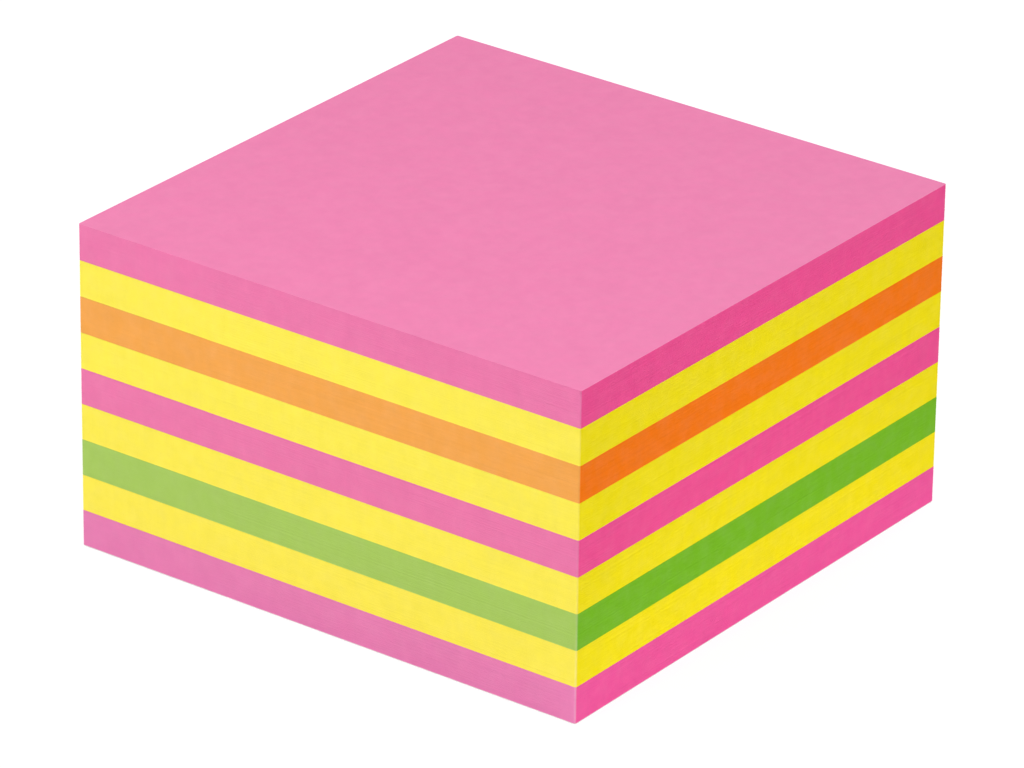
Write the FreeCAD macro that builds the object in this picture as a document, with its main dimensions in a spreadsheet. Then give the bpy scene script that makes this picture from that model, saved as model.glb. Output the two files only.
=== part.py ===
# A square pad of coloured sticky notes, standing on a desk, in millimetres.
# Nine blocks of notes lie one on another on a thin backing sheet, each block in one colour.
# Every note carries a strip of adhesive on its underside, along one edge, and so does every block.
# The pad is guillotined square after it is piled up, so all its layers end flush on four sides.
# The origin is the centre of the base and +Z is up. The stuck edge of the notes faces +Y, and the
# free edge, which a finger lifts, faces -Y.
import FreeCAD, Part
import os

import Sketcher

# Driving sizes in millimetres, and the number of notes in one block.
# note_thickness is the pitch of the pile: the paper with its share of the adhesive.
# A strip is the adhesive under a block, reaching strip_width in from the stuck edge.
SIZES = {
    "note_width": 76,
    "note_depth": 76,
    "note_thickness": 0.097,
    "notes_per_block": 50,
    "strip_width": 20,
    "strip_thickness": 0.02,
    "backing_thickness": 0.12,
}

# The colours of the blocks, from the backing sheet up.
COLOURS = ("pink", "yellow", "green", "yellow", "pink", "yellow", "orange", "yellow", "pink")

# How a sketch's constraints take its own origin point.
ORIGIN = (-1, 1)


def make_sizes(doc):
    """The spreadsheet that every size below is bound to."""
    sheet = doc.addObject("Spreadsheet::Sheet", "sizes")
    for row, (alias, value) in enumerate(SIZES.items(), start=1):
        sheet.set(f"A{row}", alias)
        sheet.set(f"B{row}", str(value))
        sheet.setAlias(f"B{row}", alias)
    return sheet


def start(line):
    """The first point of a line, as a sketch's constraints take it."""
    return line, 1


def end(line):
    """The last point of a line, as a sketch's constraints take it."""
    return line, 2


def add_loop(sketch, corners):
    """Closes straight lines through the corners, and returns the number of each line."""
    points = [FreeCAD.Vector(x, y, 0) for x, y in corners]
    ends = points[1:] + points[:1]
    lines = [sketch.addGeometry(Part.LineSegment(a, b), False) for a, b in zip(points, ends)]
    for line, following in zip(lines, lines[1:] + lines[:1]):
        sketch.addConstraint(Sketcher.Constraint("Coincident", *end(line), *start(following)))
    return lines


def dimension(sketch, kind, name, first, second, expression):
    """A distance between two points of the sketch, bound to the spreadsheet."""
    sketch.addConstraint(Sketcher.Constraint(kind, *first, *second, 1.0))
    sketch.renameConstraint(sketch.ConstraintCount - 1, name)
    sketch.setExpression(f"Constraints.{name}", expression)


def add_outline(body, name, reach):
    """A rectangle on the body's base plane, as wide as the notes, in from their stuck edge."""
    sketch = body.newObject("Sketcher::SketchObject", name)
    base = next(plane for plane in body.Origin.OriginFeatures if plane.Role == "XY_Plane")
    sketch.AttachmentSupport = (base, [""])
    sketch.MapMode = "FlatFace"

    inner, right, stuck, left = add_loop(sketch, ((-2, 1), (2, 1), (2, 3), (-2, 3)))
    for across in (inner, stuck):
        sketch.addConstraint(Sketcher.Constraint("Horizontal", across))
    for side in (right, left):
        sketch.addConstraint(Sketcher.Constraint("Vertical", side))
    dimension(sketch, "DistanceX", "width", start(inner), end(inner), "sizes.note_width")
    dimension(sketch, "DistanceX", "side", start(inner), ORIGIN, "sizes.note_width / 2")
    dimension(sketch, "DistanceY", "reach", start(right), end(right), reach)
    dimension(sketch, "DistanceY", "back", ORIGIN, start(stuck), "sizes.note_depth / 2")
    return sketch


def make_layer(doc, name, reach, thickness):
    """A flat layer of the pad, which reaches this far in from the stuck edge of the notes."""
    body = doc.addObject("PartDesign::Body", name)
    outline = add_outline(body, "outline", reach)
    layer = body.newObject("PartDesign::Pad", "layer")
    layer.Profile = outline
    layer.setExpression("Length", thickness)
    return body


def make_backing(doc):
    """The release sheet that the lowest notes are stuck to."""
    return make_layer(doc, "backing_sheet", "sizes.note_depth", "sizes.backing_thickness")


def make_block(doc, name):
    """The notes of one colour, with a shallow bed in the underside for their lowest adhesive."""
    body = make_layer(doc, name, "sizes.note_depth", "sizes.notes_per_block * sizes.note_thickness")
    pile = body.Tip
    bed = body.newObject("PartDesign::Pocket", "adhesive_bed")
    bed.Profile = add_outline(body, "bed_outline", "sizes.strip_width")
    bed.Reversed = True
    bed.setExpression("Length", "sizes.strip_thickness")

    doc.recompute()
    if not bed.Shape.Volume < pile.Shape.Volume:
        raise RuntimeError(f"{name}: the bed for the adhesive cuts nothing")
    return body


def make_strip(doc, name):
    """The adhesive under one block. It fills the bed, level with the underside of the notes."""
    return make_layer(doc, name, "sizes.strip_width", "sizes.strip_thickness")


def make_pile(doc, names, make_lowest):
    """Like layers, one to each block from the base up. The upper ones repeat the lowest."""
    layers = [make_lowest(doc, names[0])]
    for name in names[1:]:
        layer = doc.addObject("PartDesign::Body", name)
        layer.BaseFeature = layers[0]
        layers.append(layer)
    for blocks_below, layer in enumerate(layers):
        height = f"{blocks_below} * sizes.notes_per_block * sizes.note_thickness"
        layer.setExpression("Placement.Base.z", f"sizes.backing_thickness + {height}")
    return layers


def check(doc, subparts):
    """Stops before anything is written if a feature failed or a sub-part isn't a sound solid."""
    for item in doc.Objects:
        if {"Invalid", "Error"} & set(item.State):
            raise RuntimeError(f"{item.Name} failed: {item.State}")
    for subpart in subparts:
        shape = subpart.Shape
        if shape.isNull() or not shape.isValid() or len(shape.Solids) != 1:
            raise RuntimeError(f"{subpart.Label} isn't one valid solid")


def main():
    doc = FreeCAD.newDocument("note_pad")
    make_sizes(doc)
    doc.recompute()

    blocks = [f"notes_{number}_{colour}" for number, colour in enumerate(COLOURS, start=1)]
    strips = [f"adhesive_{number}" for number in range(1, len(COLOURS) + 1)]
    subparts = [
        make_backing(doc),
        *make_pile(doc, blocks, make_block),
        *make_pile(doc, strips, make_strip),
    ]
    doc.recompute()
    check(doc, subparts)

    os.makedirs("parts", exist_ok=True)
    for subpart in subparts:
        subpart.Shape.exportStep(f"parts/{subpart.Label}.step")
        box = subpart.Shape.BoundBox
        print(f"{subpart.Label}: {subpart.Shape.Volume:.3f} mm3, z {box.ZMin:.3f} to {box.ZMax:.3f}")


main()
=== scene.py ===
import math
import random

import bmesh
import bpy
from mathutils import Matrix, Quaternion, Vector, noise


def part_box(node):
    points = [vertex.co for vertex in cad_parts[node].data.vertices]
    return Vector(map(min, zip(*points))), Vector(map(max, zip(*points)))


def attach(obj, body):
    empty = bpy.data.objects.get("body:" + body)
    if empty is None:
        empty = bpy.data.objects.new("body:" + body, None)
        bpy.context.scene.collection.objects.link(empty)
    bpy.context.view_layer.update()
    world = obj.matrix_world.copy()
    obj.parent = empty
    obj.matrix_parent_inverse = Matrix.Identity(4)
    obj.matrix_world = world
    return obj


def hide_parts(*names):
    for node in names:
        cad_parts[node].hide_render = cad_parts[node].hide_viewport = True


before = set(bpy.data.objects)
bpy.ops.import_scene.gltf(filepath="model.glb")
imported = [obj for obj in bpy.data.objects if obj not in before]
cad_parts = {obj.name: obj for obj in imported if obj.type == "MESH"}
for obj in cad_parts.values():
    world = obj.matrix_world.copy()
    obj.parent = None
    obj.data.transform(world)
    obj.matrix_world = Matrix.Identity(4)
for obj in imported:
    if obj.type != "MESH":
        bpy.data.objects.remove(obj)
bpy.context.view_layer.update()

MM = 0.001

# What the solids say: half the pad's width, the top of the backing, of the lowest block and of the
# pad, and the adhesive's inner edge and thickness.
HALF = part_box("backing_sheet")[1].x
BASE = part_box("backing_sheet")[1].z
FIRST_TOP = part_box("notes_1_pink")[1].z
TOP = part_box("notes_9_pink")[1].z
STRIP_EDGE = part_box("adhesive_1")[0].y
STRIP_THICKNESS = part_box("adhesive_1")[1].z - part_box("adhesive_1")[0].z

# A block is so many notes, and its outline has small rounded corners and points along its sides.
NOTES_PER_BLOCK = 50
CORNER_RADIUS = 0.22 * MM
CORNER_STEPS = 4
EDGE_CUTS = 19

# How the guillotine leaves a note's edge: the lower rim is dragged in by a hair, each note stands
# back by its own small amount, and its edge wanders along the way.
RIM_HEIGHT = 0.014 * MM
RIM_DRAG = 0.012 * MM
NOTE_SETBACK = 0.014 * MM
NOTE_WANDER = 0.012 * MM
NOTE_SHIFT = 0.005 * MM
STUCK_CALM = 0.45
WANDER_LENGTH = 6 * MM
WANDER_STEP = 0.61

# The top note lies in very shallow waves.
TOP_WAVE = 0.03 * MM
TOP_WAVE_LENGTH = 24 * MM

# How near a point has to lie to a height, to a cut through the top face and to a cut through the bed
# of the adhesive to count as on it, and the digits of a metre that tell two places apart.
LEVEL_NEAR = 1e-4 * MM
FACE_NEAR = 1e-3 * MM
BED_NEAR = 1e-5 * MM
PLACE_DIGITS = 7

# The adhesive stops a little short of the cut edges, and its inner edge runs unevenly. It is divided
# into so many lengths and widths.
FILM_INSET = 0.06 * MM
FILM_UNEVEN = 0.25 * MM
FILM_UNEVEN_LENGTH = 1.4 * MM
FILM_LENGTHS = 60
FILM_WIDTHS = 4

# Linear colours of the papers: the flat face of a note, paled by a painted sheen, the edges that are cut
# along the paper's grain, which look deepest, and those that are cut across it, which show pale fibre
# ends and are paled by a painted sheen too.
PAPERS = {
    "pink": {"face": (0.86, 0.222, 0.44), "along": (0.865, 0.085, 0.305), "across": (0.78, 0.185, 0.39)},
    "yellow": {"face": (0.90, 0.80, 0.12), "along": (0.89, 0.76, 0.003), "across": (0.90, 0.78, 0.083)},
    "orange": {"face": (0.90, 0.38, 0.08), "along": (0.92, 0.195, 0.002), "across": (0.84, 0.37, 0.078)},
    "green": {"face": (0.36, 0.58, 0.11), "along": (0.18, 0.485, 0.014), "across": (0.37, 0.56, 0.115)},
}
# The pale colour towards which the paper's pale patches, its rubbed corners and their painted highlight
# are blended.
PALE_FIBRE_AND_HIGHLIGHT = (1.0, 0.9, 0.9)

# The lowest block is a little cooler and paler than the rest, a painted reflection of the pale floor.
FLOOR_REFLECTION_TINT = (0.96, 1.12, 1.13)
PLAIN_TINT = (1.0, 1.0, 1.0)

# The backing sheet and the adhesive, each between two colours, and how many of their marks lie in a
# millimetre.
RELEASE_COLOUR = (0.82, 0.81, 0.77)
RELEASE_SHADE = (0.77, 0.76, 0.72)
RELEASE_CLOUDS = 0.3
RELEASE_FIBRES = 7.0
ADHESIVE_COLOUR = (0.86, 0.86, 0.83)
BEAD_COLOUR = (0.92, 0.92, 0.90)
BEADS = 9.0

# How many marks of each of the paper's patterns lie in a millimetre. The knife's streaks are long
# upwards, and a note's own tone is drawn a step away from its neighbour's.
CLOUDS = 0.22
PALE_PATCHES = 0.45
FLOCKS = 0.7
SPECKS = 1.7
FIBRES = 5.0
NOTE_MARKS = 0.05
NOTE_STEP = 3.7
KNIFE_STREAKS = 1.3
KNIFE_RISES = 0.06

# How much each pattern lightens or darkens the paper.
CLOUD_TONE = 0.03
FLOCK_TONE = 0.04
FIBRE_TONE = 0.03
SPECK_TONE = 0.05
NOTE_TONE = 0.04
KNIFE_TONE = 0.02

# How pale the paper is all over, in its pale patches, and where its corners are rubbed and carry a
# painted highlight.
PALENESS = 0.008
PATCH_PALENESS = 0.035
WEAR_AND_HIGHLIGHT_PALENESS = 0.2

# In millimetres: how far in from the sides the cut edges are looked for, how far down from the top
# its flat face, and how wide the turn is at a corner from one side's colours to the other's.
EDGE_DEPTH = 0.25
EDGE_FULL = 0.2
FACE_DEPTH = 0.004
FACE_FULL = 0.001
TURN_WIDTH = 0.17

# In millimetres: how far in from the pad's corners the paper is rubbed pale and carries a painted
# highlight, where that is full, and how far up from its base it goes.
WEAR_AND_HIGHLIGHT_WIDTH = 0.35
WEAR_AND_HIGHLIGHT_FULL = 0.05
WEAR_AND_HIGHLIGHT_HEIGHT = 30.0

# How strong the rubbing and the painted highlight at the corners are on average, by how much more or
# less that is from place to place, and how many such places lie in a millimetre of height.
WEAR_AND_HIGHLIGHT_EVEN = 0.8
WEAR_AND_HIGHLIGHT_UNEVEN = 0.4
WEAR_AND_HIGHLIGHT_MARKS = 0.5

# The noise at which a speck begins and the noise at which it is full.
SPECK_NOISE = (0.4, 0.7)

# Half the length in millimetres over which the notes' tones fade at the adhesive, how far they fade,
# and the share of a note by which its underside still counts as its own.
STUCK_BLUR = 1.0
STUCK_FADE = 0.5
NOTE_SLACK = 0.001

# The camera stands to the left of the free edge and looks down on the pad.
CAMERA_AZIMUTH = -53.44
CAMERA_ELEVATION = 25.47
CAMERA_DISTANCE = 879 * MM
CAMERA_ROLL = 0.832
CAMERA_LENS = 249.2
CAMERA_SENSOR = 36
CAMERA_TARGET = Vector((-0.10, 0.14, 19.28)) * MM

# The floor lies a hair under the pad and reaches this far from its middle. It and the world look
# white to the camera, and the floor keeps a trace of the pad's shadow.
FLOOR_REACH = 3.0
FLOOR_GAP = 0.02 * MM
WHITE = (1.0, 1.0, 1.0, 1.0)
FLOOR_COLOUR = (0.85, 0.85, 0.85, 1.0)
FLOOR_GLOW = 1.15
FLOOR_FADE = 0.75

# Even light from all sides, soft lamps around the pad, and a glowing card on the floor before the
# free edge, which lights the lower notes more than the upper ones. Angles are in degrees, lengths in
# metres and powers in watts.
WORLD_LIGHT = 0.35
LAMPS = (
    # name, azimuth, elevation, distance, size, power
    ("left_softbox", -110, 12, 0.9, 0.7, 5.2),
    ("right_softbox", 5, 40, 0.9, 0.6, 2.8),
    ("near_softbox", -95, 62, 0.32, 0.22, 0.225),
    ("far_softbox", 95, 12, 2.0, 0.6, 18.0),
    ("back_softbox", 170, 12, 2.0, 0.6, 10.5),
)
CARD_WIDTH = 90 * MM
CARD_DEPTH = 82 * MM
CARD_POWER = 0.0135


# Shapes


def outline_face(bm, height):
    """One flat face with rounded corners, and points along its sides for the edges to wander by."""
    bmesh.ops.create_grid(bm, x_segments=1, y_segments=1, size=HALF)
    bmesh.ops.bevel(
        bm,
        geom=bm.verts[:],
        offset=CORNER_RADIUS,
        offset_type="OFFSET",
        affect="VERTICES",
        segments=CORNER_STEPS,
        profile=0.5,
        material=-1,
    )
    sides = [edge for edge in bm.edges if edge.calc_length() > HALF]
    bmesh.ops.subdivide_edges(bm, edges=sides, cuts=EDGE_CUTS)
    bmesh.ops.translate(bm, verts=bm.verts[:], vec=(0, 0, height))


def keep_outline(bm):
    """Stores each point's place on the outline, which the points extruded from it inherit."""
    layer = bm.verts.layers.float_vector.new("outline")
    for vert in bm.verts:
        vert[layer] = vert.co
    return layer


def extrude_ring(bm, ring):
    """Draws a ring of edges out into a band of faces, and returns the new ring and its points."""
    made = bmesh.ops.extrude_edge_only(bm, edges=ring)["geom"]
    points = {part for part in made if isinstance(part, bmesh.types.BMVert)}
    edges = [
        part for part in made if isinstance(part, bmesh.types.BMEdge) and points.issuperset(part.verts)
    ]
    return edges, points


def to_object(bm, name):
    """Closes the work on a shape: the normals outwards, and the mesh in an object of its own."""
    bmesh.ops.recalc_face_normals(bm, faces=bm.faces[:])
    mesh = bpy.data.meshes.new(name)
    bm.to_mesh(mesh)
    bm.free()
    piece = bpy.data.objects.new(name, mesh)
    bpy.context.scene.collection.objects.link(piece)
    return piece


def swell(x, y, layer, length):
    """Smooth noise from 0 to 1 over a layer, in swells of about this length."""
    return 0.5 + 0.5 * noise.noise(Vector((x, y, 0)) / length + Vector((0, 0, layer)))


def cut_edge(point, note, setback, shift, drag):
    """Where a point of the outline lies on the cut edge of one note."""
    calm = STUCK_CALM if point.y > STRIP_EDGE else 1.0
    wander = NOTE_WANDER * swell(point.x, point.y, note * WANDER_STEP, WANDER_LENGTH)
    inward = NOTE_SHIFT + drag + calm * (setback + wander)
    scale = 1 - inward / HALF
    return point.x * scale + shift[0], point.y * scale + shift[1]


def draw_out(bm, rings):
    """Draws the border of a flat face out through rings of points, and closes the last of them."""
    outline = keep_outline(bm)
    ring = [edge for edge in bm.edges if edge.is_boundary]
    points = {vert for edge in ring for vert in edge.verts}
    for step, (height, *cut) in enumerate(rings):
        if step > 0:
            ring, points = extrude_ring(bm, ring)
        for vert in points:
            vert.co = (*cut_edge(vert[outline], *cut), height)
    return bmesh.ops.contextual_create(bm, geom=ring)["faces"]


def make_block(node, number):
    """A block of notes, drawn down from its top face, three rings to a note."""
    low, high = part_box(node)
    pitch = (high.z - low.z) / NOTES_PER_BLOCK
    dice = random.Random(number)
    rings = []
    for note in range(NOTES_PER_BLOCK):
        setback = dice.uniform(0, NOTE_SETBACK)
        shift = (dice.uniform(-NOTE_SHIFT, NOTE_SHIFT), dice.uniform(-NOTE_SHIFT, NOTE_SHIFT))
        above = high.z - note * pitch
        below = above - pitch
        rim = below + RIM_HEIGHT
        if note == NOTES_PER_BLOCK - 1:
            rim += STRIP_THICKNESS
        for height, drag in ((above, 0.0), (rim, 0.0), (below, RIM_DRAG)):
            rings.append((height, number * NOTES_PER_BLOCK + note, setback, shift, drag))

    bm = bmesh.new()
    outline_face(bm, high.z)
    if high.z == TOP:
        divide_face(bm)
    underside = draw_out(bm, rings)
    lift_bed(bm, underside)
    if high.z == TOP:
        wave_top(bm)
    return to_object(bm, node.replace("notes", "pile"))


def divide_face(bm):
    """Cuts the flat face from side to side, between the points of its sides."""
    places = sorted({round(vert.co.x, PLACE_DIGITS) for vert in bm.verts})
    limit = places[-1] - 2 * CORNER_RADIUS
    for place in places:
        if abs(place) < limit:
            for axis in (Vector((1, 0, 0)), Vector((0, 1, 0))):
                bmesh.ops.bisect_plane(
                    bm,
                    geom=bm.verts[:] + bm.edges[:] + bm.faces[:],
                    dist=FACE_NEAR,
                    plane_co=axis * place,
                    plane_no=axis,
                )


def wave_top(bm):
    """Lays the top note in its waves, up to a little short of its edges."""
    for vert in bm.verts:
        x, y, z = vert.co
        if z > TOP - LEVEL_NEAR and max(abs(x), abs(y)) < HALF - 2 * CORNER_RADIUS:
            vert.co.z -= TOP_WAVE * swell(x, y, 0, TOP_WAVE_LENGTH)


def lift_bed(bm, underside):
    """Raises the underside over the adhesive by the strip's thickness, up to the strip's edge."""
    faces = list(underside)
    for place in (STRIP_EDGE, STRIP_EDGE - STRIP_THICKNESS):
        edges = {edge for face in faces for edge in face.edges}
        verts = {vert for face in faces for vert in face.verts}
        cut = bmesh.ops.bisect_plane(
            bm,
            geom=list(verts) + list(edges) + faces,
            dist=BED_NEAR,
            plane_co=(0, place, 0),
            plane_no=(0, 1, 0),
        )["geom"]
        faces = [part for part in cut if isinstance(part, bmesh.types.BMFace)]
    raised = {vert for face in faces for vert in face.verts if vert.co.y > STRIP_EDGE - BED_NEAR}
    bmesh.ops.translate(bm, verts=list(raised), vec=(0, 0, STRIP_THICKNESS))


def make_film(node):
    """The adhesive in its bed: a thin film with an uneven inner edge."""
    low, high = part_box(node)
    bm = bmesh.new()
    bmesh.ops.create_grid(bm, x_segments=FILM_LENGTHS, y_segments=FILM_WIDTHS, size=1)
    for vert in bm.verts:
        across = vert.co.x * (high.x - FILM_INSET)
        along = (vert.co.y + 1) / 2
        inner = low.y + FILM_UNEVEN * swell(across, low.z, 0, FILM_UNEVEN_LENGTH)
        vert.co = (across, inner + along * (high.y - FILM_INSET - inner), low.z)
    made = bmesh.ops.extrude_face_region(bm, geom=bm.faces[:])["geom"]
    upper = [part for part in made if isinstance(part, bmesh.types.BMVert)]
    bmesh.ops.translate(bm, verts=upper, vec=(0, 0, high.z - low.z))
    return to_object(bm, node.replace("adhesive", "film"))


def make_release_sheet(node):
    """The backing: one stiffer sheet, cut with the pad, its two rims dragged in by a hair."""
    low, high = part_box(node)
    bm = bmesh.new()
    outline_face(bm, low.z)
    rims = (
        (low.z, RIM_DRAG),
        (low.z + RIM_HEIGHT, 0.0),
        (high.z - RIM_HEIGHT, 0.0),
        (high.z, RIM_DRAG),
    )
    draw_out(bm, [(height, 0, 0.0, (0.0, 0.0), drag) for height, drag in rims])
    return to_object(bm, "release_sheet")


# Materials


class Value:
    """A socket of a material, so that shader maths is written as Python expressions."""

    def __init__(self, finish, socket):
        self.finish = finish
        self.socket = socket

    def maths(self, operation, *numbers):
        return self.finish.add("Math", {"operation": operation}, enumerate(numbers))

    def __add__(self, other):
        return self.maths("ADD", self, other)

    def __radd__(self, other):
        return self.maths("ADD", other, self)

    def __sub__(self, other):
        return self.maths("SUBTRACT", self, other)

    def __rsub__(self, other):
        return self.maths("SUBTRACT", other, self)

    def __mul__(self, other):
        return self.maths("MULTIPLY", self, other)

    def __rmul__(self, other):
        return self.maths("MULTIPLY", other, self)

    def __abs__(self):
        return self.maths("ABSOLUTE", self)

    def floor(self):
        return self.maths("FLOOR", self)

    def least(self, other):
        return self.maths("MINIMUM", self, other)

    def most(self, other):
        return self.maths("MAXIMUM", self, other)

    def rise(self, start, end):
        """0 up to start and 1 from end on, with a smooth rise between them."""
        settings = {"interpolation_type": "SMOOTHSTEP"}
        return self.finish.add("MapRange", settings, {"Value": self, "From Min": start, "From Max": end})


class Finish:
    """The finish of a material, or of the world, that is being made."""

    def __init__(self, owner, shader):
        owner.use_nodes = True
        self.owner = owner
        self.tree = owner.node_tree
        self.shader = self.tree.nodes[shader]

    def add(self, kind, settings=(), inputs=(), output=0):
        """Adds a node: its settings first, then values or links for the sockets that are named."""
        node = self.tree.nodes.new(f"ShaderNode{kind}")
        for key, value in dict(settings).items():
            setattr(node, key, value)
        for key, value in dict(inputs).items():
            self.feed(node.inputs[key], value)
        return Value(self, node.outputs[output])

    def feed(self, socket, value):
        if isinstance(value, Value):
            self.tree.links.new(value.socket, socket)
        else:
            socket.default_value = value

    def place(self):
        """The place on the piece, in millimetres."""
        position = self.add("TexCoord", output="Object")
        return self.add("VectorMath", {"operation": "SCALE"}, {0: position, "Scale": 1 / MM})

    def parts(self, vector):
        node = self.add("SeparateXYZ", (), {0: vector}).socket.node
        return [Value(self, socket) for socket in node.outputs]

    def vector(self, x, y, z):
        return self.add("CombineXYZ", (), {0: x, 1: y, 2: z})

    def cloud(self, place, scale, detail=2.0, roughness=0.5):
        """Noise about zero, from about -1 to 1."""
        inputs = {"Vector": place, "Scale": scale, "Detail": detail, "Roughness": roughness}
        return self.add("TexNoise", (), inputs) * 2 - 1

    def blend(self, amount, first, second):
        """From the first colour to the second."""
        colours = [c if isinstance(c, Value) else (*c, 1.0) for c in (first, second)]
        inputs = {0: amount, 6: colours[0], 7: colours[1]}
        return self.add("Mix", {"data_type": "RGBA"}, inputs, output=2)

    def tinted(self, colour, tint):
        """The colour times a tint, channel by channel."""
        return self.add("VectorMath", {"operation": "MULTIPLY"}, {0: colour, 1: tint})

    def scaled(self, colour, amount):
        """The colour, lighter or darker by an amount."""
        return self.add("VectorMath", {"operation": "SCALE"}, {0: colour, "Scale": amount})

    def seen(self):
        """1 for what the camera sees, also in metal and through glass, and 0 for all other light."""
        rays = self.add("LightPath").socket.node.outputs
        camera, mirrored, through = (
            Value(self, rays[name]) for name in ("Is Camera Ray", "Is Glossy Ray", "Is Transmission Ray")
        )
        return (camera + mirrored + through).least(1.0)

    def bump(self, height, strength, distance):
        inputs = {"Height": height, "Strength": strength, "Distance": distance}
        return self.add("Bump", (), inputs)

    def set(self, **sockets):
        """Values or links for the shader's own sockets, with _ for a space in a name."""
        for name, value in sockets.items():
            self.feed(self.shader.inputs[name.replace("_", " ")], value)


def new_material(name):
    return Finish(bpy.data.materials.new(name), "Principled BSDF")


def make_paper(name, colours):
    """Coloured note paper: cloudy and fibrous on its face, and finely lined where it is cut."""
    finish = new_material(f"{name}_paper")
    place = finish.place()
    x, y, z = finish.parts(place)

    # The cut edges, up to the flat face on top, those cut across the grain, whose paler colour is partly
    # a painted sheen, and the stuck end.
    beside = abs(x).most(abs(y)).rise(HALF / MM - EDGE_DEPTH, HALF / MM - EDGE_FULL)
    cut = beside * (1 - z.rise(TOP / MM - FACE_DEPTH, TOP / MM - FACE_FULL))
    across = (abs(x) - abs(y)).rise(-TURN_WIDTH, 0.0)
    stuck = y.rise(STRIP_EDGE / MM - STUCK_BLUR, STRIP_EDGE / MM + STUCK_BLUR)

    # The paper's own patterns.
    cloudy = finish.cloud(place, CLOUDS, detail=3.0)
    pale = finish.cloud(place, PALE_PATCHES, detail=3.0, roughness=0.6)
    flocks = finish.cloud(place, FLOCKS)
    specks = finish.cloud(place, SPECKS).rise(*SPECK_NOISE)
    fibres = finish.cloud(place, FIBRES, detail=3.0, roughness=0.6)

    # What cutting leaves: a tone of its own to each note, counted from the base, fainter where the
    # notes are stuck, and the knife's upright streaks.
    pitch = (FIRST_TOP - BASE) / MM / NOTES_PER_BLOCK
    note = ((z - BASE / MM) * (1 / pitch) + NOTE_SLACK).floor()
    on_note = finish.vector(x * NOTE_MARKS, y * NOTE_MARKS, note * NOTE_STEP)
    lines = cut * (1 - STUCK_FADE * stuck) * finish.cloud(on_note, 1.0, detail=1.0)
    on_cut = finish.vector((x + y) * KNIFE_STREAKS, z * KNIFE_RISES, 0.0)
    knife = cut * finish.cloud(on_cut, 1.0, detail=4.0, roughness=0.6)

    # The pad's upright corners are rubbed pale towards the base, with a painted highlight along them as
    # well.
    corner = abs(x).least(abs(y)).rise(HALF / MM - WEAR_AND_HIGHLIGHT_WIDTH, HALF / MM - WEAR_AND_HIGHLIGHT_FULL)
    wear_and_highlight_strength = WEAR_AND_HIGHLIGHT_EVEN + WEAR_AND_HIGHLIGHT_UNEVEN * finish.cloud(finish.vector(0.0, 0.0, z), WEAR_AND_HIGHLIGHT_MARKS)
    wear_and_highlight = cut * corner * (1 - z.rise(0.0, WEAR_AND_HIGHLIGHT_HEIGHT)) * wear_and_highlight_strength

    # The paler colours of the sides cut across the grain and of the flat face on top are partly a
    # painted sheen.
    edge = finish.blend(across, colours["along"], colours["across"])
    colour = finish.blend(cut, colours["face"], edge)
    # Painted reflection of the floor: the lowest block's colours are cooled and paled.
    floor_reflection = finish.blend(note.rise(NOTES_PER_BLOCK - 1, NOTES_PER_BLOCK), FLOOR_REFLECTION_TINT, PLAIN_TINT)
    colour = finish.tinted(colour, floor_reflection)
    paleness = PALENESS + PATCH_PALENESS * pale + WEAR_AND_HIGHLIGHT_PALENESS * wear_and_highlight
    colour = finish.blend(paleness, colour, PALE_FIBRE_AND_HIGHLIGHT)
    tone = 1 + CLOUD_TONE * cloudy + FLOCK_TONE * flocks + FIBRE_TONE * fibres - SPECK_TONE * specks
    tone = tone + NOTE_TONE * lines + KNIFE_TONE * knife
    finish.set(
        Base_Color=finish.scaled(colour, tone),
        Roughness=0.6 + 0.3 * cut + 0.06 * cloudy + 0.05 * fibres,
        Normal=finish.bump(0.5 * fibres + 0.5 * knife, 0.12, 0.04 * MM),
        Specular_IOR_Level=0.12,
    )
    return finish.owner


def make_release_paper():
    """The backing sheet's paper, smooth and a little shiny, with a faint cloudy look-through."""
    finish = new_material("release_paper")
    place = finish.place()
    cloudy = finish.cloud(place, RELEASE_CLOUDS, detail=4.0)
    fibres = finish.cloud(place, RELEASE_FIBRES)
    finish.set(
        Base_Color=finish.blend(0.5 + 0.5 * cloudy, RELEASE_COLOUR, RELEASE_SHADE),
        Roughness=0.38 + 0.05 * cloudy,
        Normal=finish.bump(fibres, 0.08, 0.03 * MM),
        Specular_IOR_Level=0.5,
    )
    return finish.owner


def make_adhesive():
    """The clear adhesive, milky where it is full of tiny beads."""
    finish = new_material("adhesive_film")
    place = finish.place()
    beads = finish.cloud(place, BEADS)
    finish.set(
        Base_Color=finish.blend(0.5 + 0.5 * beads, ADHESIVE_COLOUR, BEAD_COLOUR),
        Roughness=0.4 + 0.1 * beads,
        Normal=finish.bump(beads, 0.3, 0.01 * MM),
    )
    return finish.owner


# The stage


def make_floor():
    """A wide pale floor. The camera sees it nearly white, with the pad's shadow left in."""
    bm = bmesh.new()
    bmesh.ops.create_grid(bm, x_segments=1, y_segments=1, size=FLOOR_REACH)
    bmesh.ops.translate(bm, verts=bm.verts[:], vec=(0, 0, -FLOOR_GAP))
    floor = to_object(bm, "floor")
    finish = new_material("pale_floor")
    finish.set(Base_Color=FLOOR_COLOUR, Roughness=0.9, Specular_IOR_Level=0.1)
    glow = finish.add("Emission", (), {"Color": WHITE, "Strength": FLOOR_GLOW})
    surface = Value(finish, finish.shader.outputs[0])
    mixed = finish.add("MixShader", (), {0: finish.seen() * FLOOR_FADE, 1: surface, 2: glow})
    finish.feed(finish.tree.nodes["Material Output"].inputs["Surface"], mixed)
    floor.data.materials.append(finish.owner)


def make_world():
    """Even studio light from all sides. The camera sees it as white."""
    world = bpy.data.worlds.new("studio")
    bpy.context.scene.world = world
    finish = Finish(world, "Background")
    finish.set(Color=WHITE, Strength=WORLD_LIGHT + (1 - WORLD_LIGHT) * finish.seen())


def away(azimuth, elevation):
    """The direction from the pad to something at this azimuth and elevation, in degrees."""
    a, e = math.radians(azimuth), math.radians(elevation)
    return Vector((math.sin(a) * math.cos(e), -math.cos(a) * math.cos(e), math.sin(e)))


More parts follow.
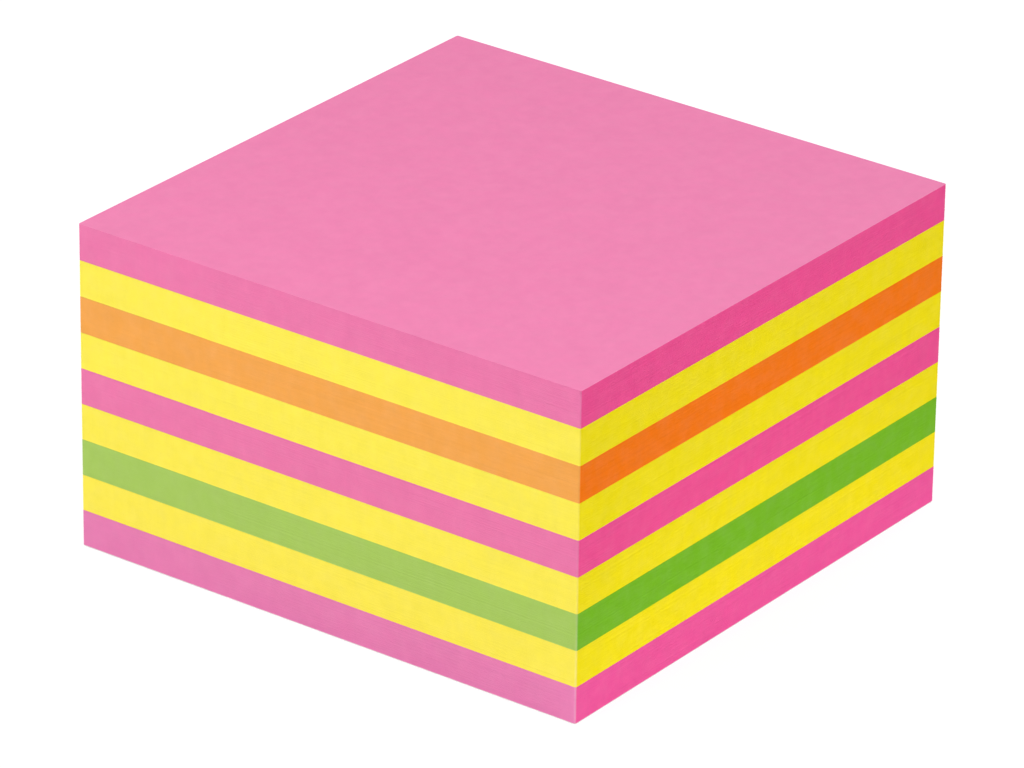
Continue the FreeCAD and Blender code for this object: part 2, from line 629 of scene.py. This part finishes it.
def aim(item, middle, azimuth, elevation, distance):
    """Stands a lamp or a camera off at this azimuth and elevation, looking at the middle."""
    outward = away(azimuth, elevation)
    item.rotation_mode = "QUATERNION"
    item.rotation_quaternion = (-outward).to_track_quat("-Z", "Y")
    item.location = middle + outward * distance


def add_lamp(name, power):
    """An area lamp, which the camera doesn't see."""
    lamp = bpy.data.lights.new(name, "AREA")
    lamp.energy = power
    stand = bpy.data.objects.new(name, lamp)
    stand.visible_camera = False
    bpy.context.scene.collection.objects.link(stand)
    return stand


def make_lamps():
    for name, azimuth, elevation, distance, size, power in LAMPS:
        stand = add_lamp(name, power)
        stand.data.size = size
        aim(stand, CAMERA_TARGET, azimuth, elevation, distance)

    card = add_lamp("glowing_card", CARD_POWER)
    card.data.shape = "RECTANGLE"
    card.data.size = CARD_WIDTH
    card.data.size_y = CARD_DEPTH
    card.location = (0, -HALF - CARD_DEPTH / 2, 0)
    card.rotation_euler = (math.pi, 0, 0)


def make_camera():
    lens = bpy.data.cameras.new("camera")
    lens.lens = CAMERA_LENS
    lens.sensor_width = CAMERA_SENSOR
    camera = bpy.data.objects.new("camera", lens)
    aim(camera, CAMERA_TARGET, CAMERA_AZIMUTH, CAMERA_ELEVATION, CAMERA_DISTANCE)
    outward = away(CAMERA_AZIMUTH, CAMERA_ELEVATION)
    camera.rotation_quaternion.rotate(Quaternion(outward, math.radians(CAMERA_ROLL)))
    bpy.context.scene.collection.objects.link(camera)
    bpy.context.scene.camera = camera


make_camera()
papers = {name: make_paper(name, colours) for name, colours in PAPERS.items()}
adhesive = make_adhesive()

for node in sorted(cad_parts):
    if node.startswith("notes_"):
        _, number, colour = node.split("_")
        piece, material, slot = make_block(node, int(number)), papers[colour], f"{colour}_paper"
    elif node.startswith("adhesive_"):
        piece, material, slot = make_film(node), adhesive, "adhesive"
    else:
        piece, material, slot = make_release_sheet(node), make_release_paper(), "backing_paper"
    piece.data.materials.append(material)
    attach(piece, "root")
    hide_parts(node)

make_floor()
make_world()
make_lamps()
bpy.context.scene.view_settings.view_transform = "Standard"
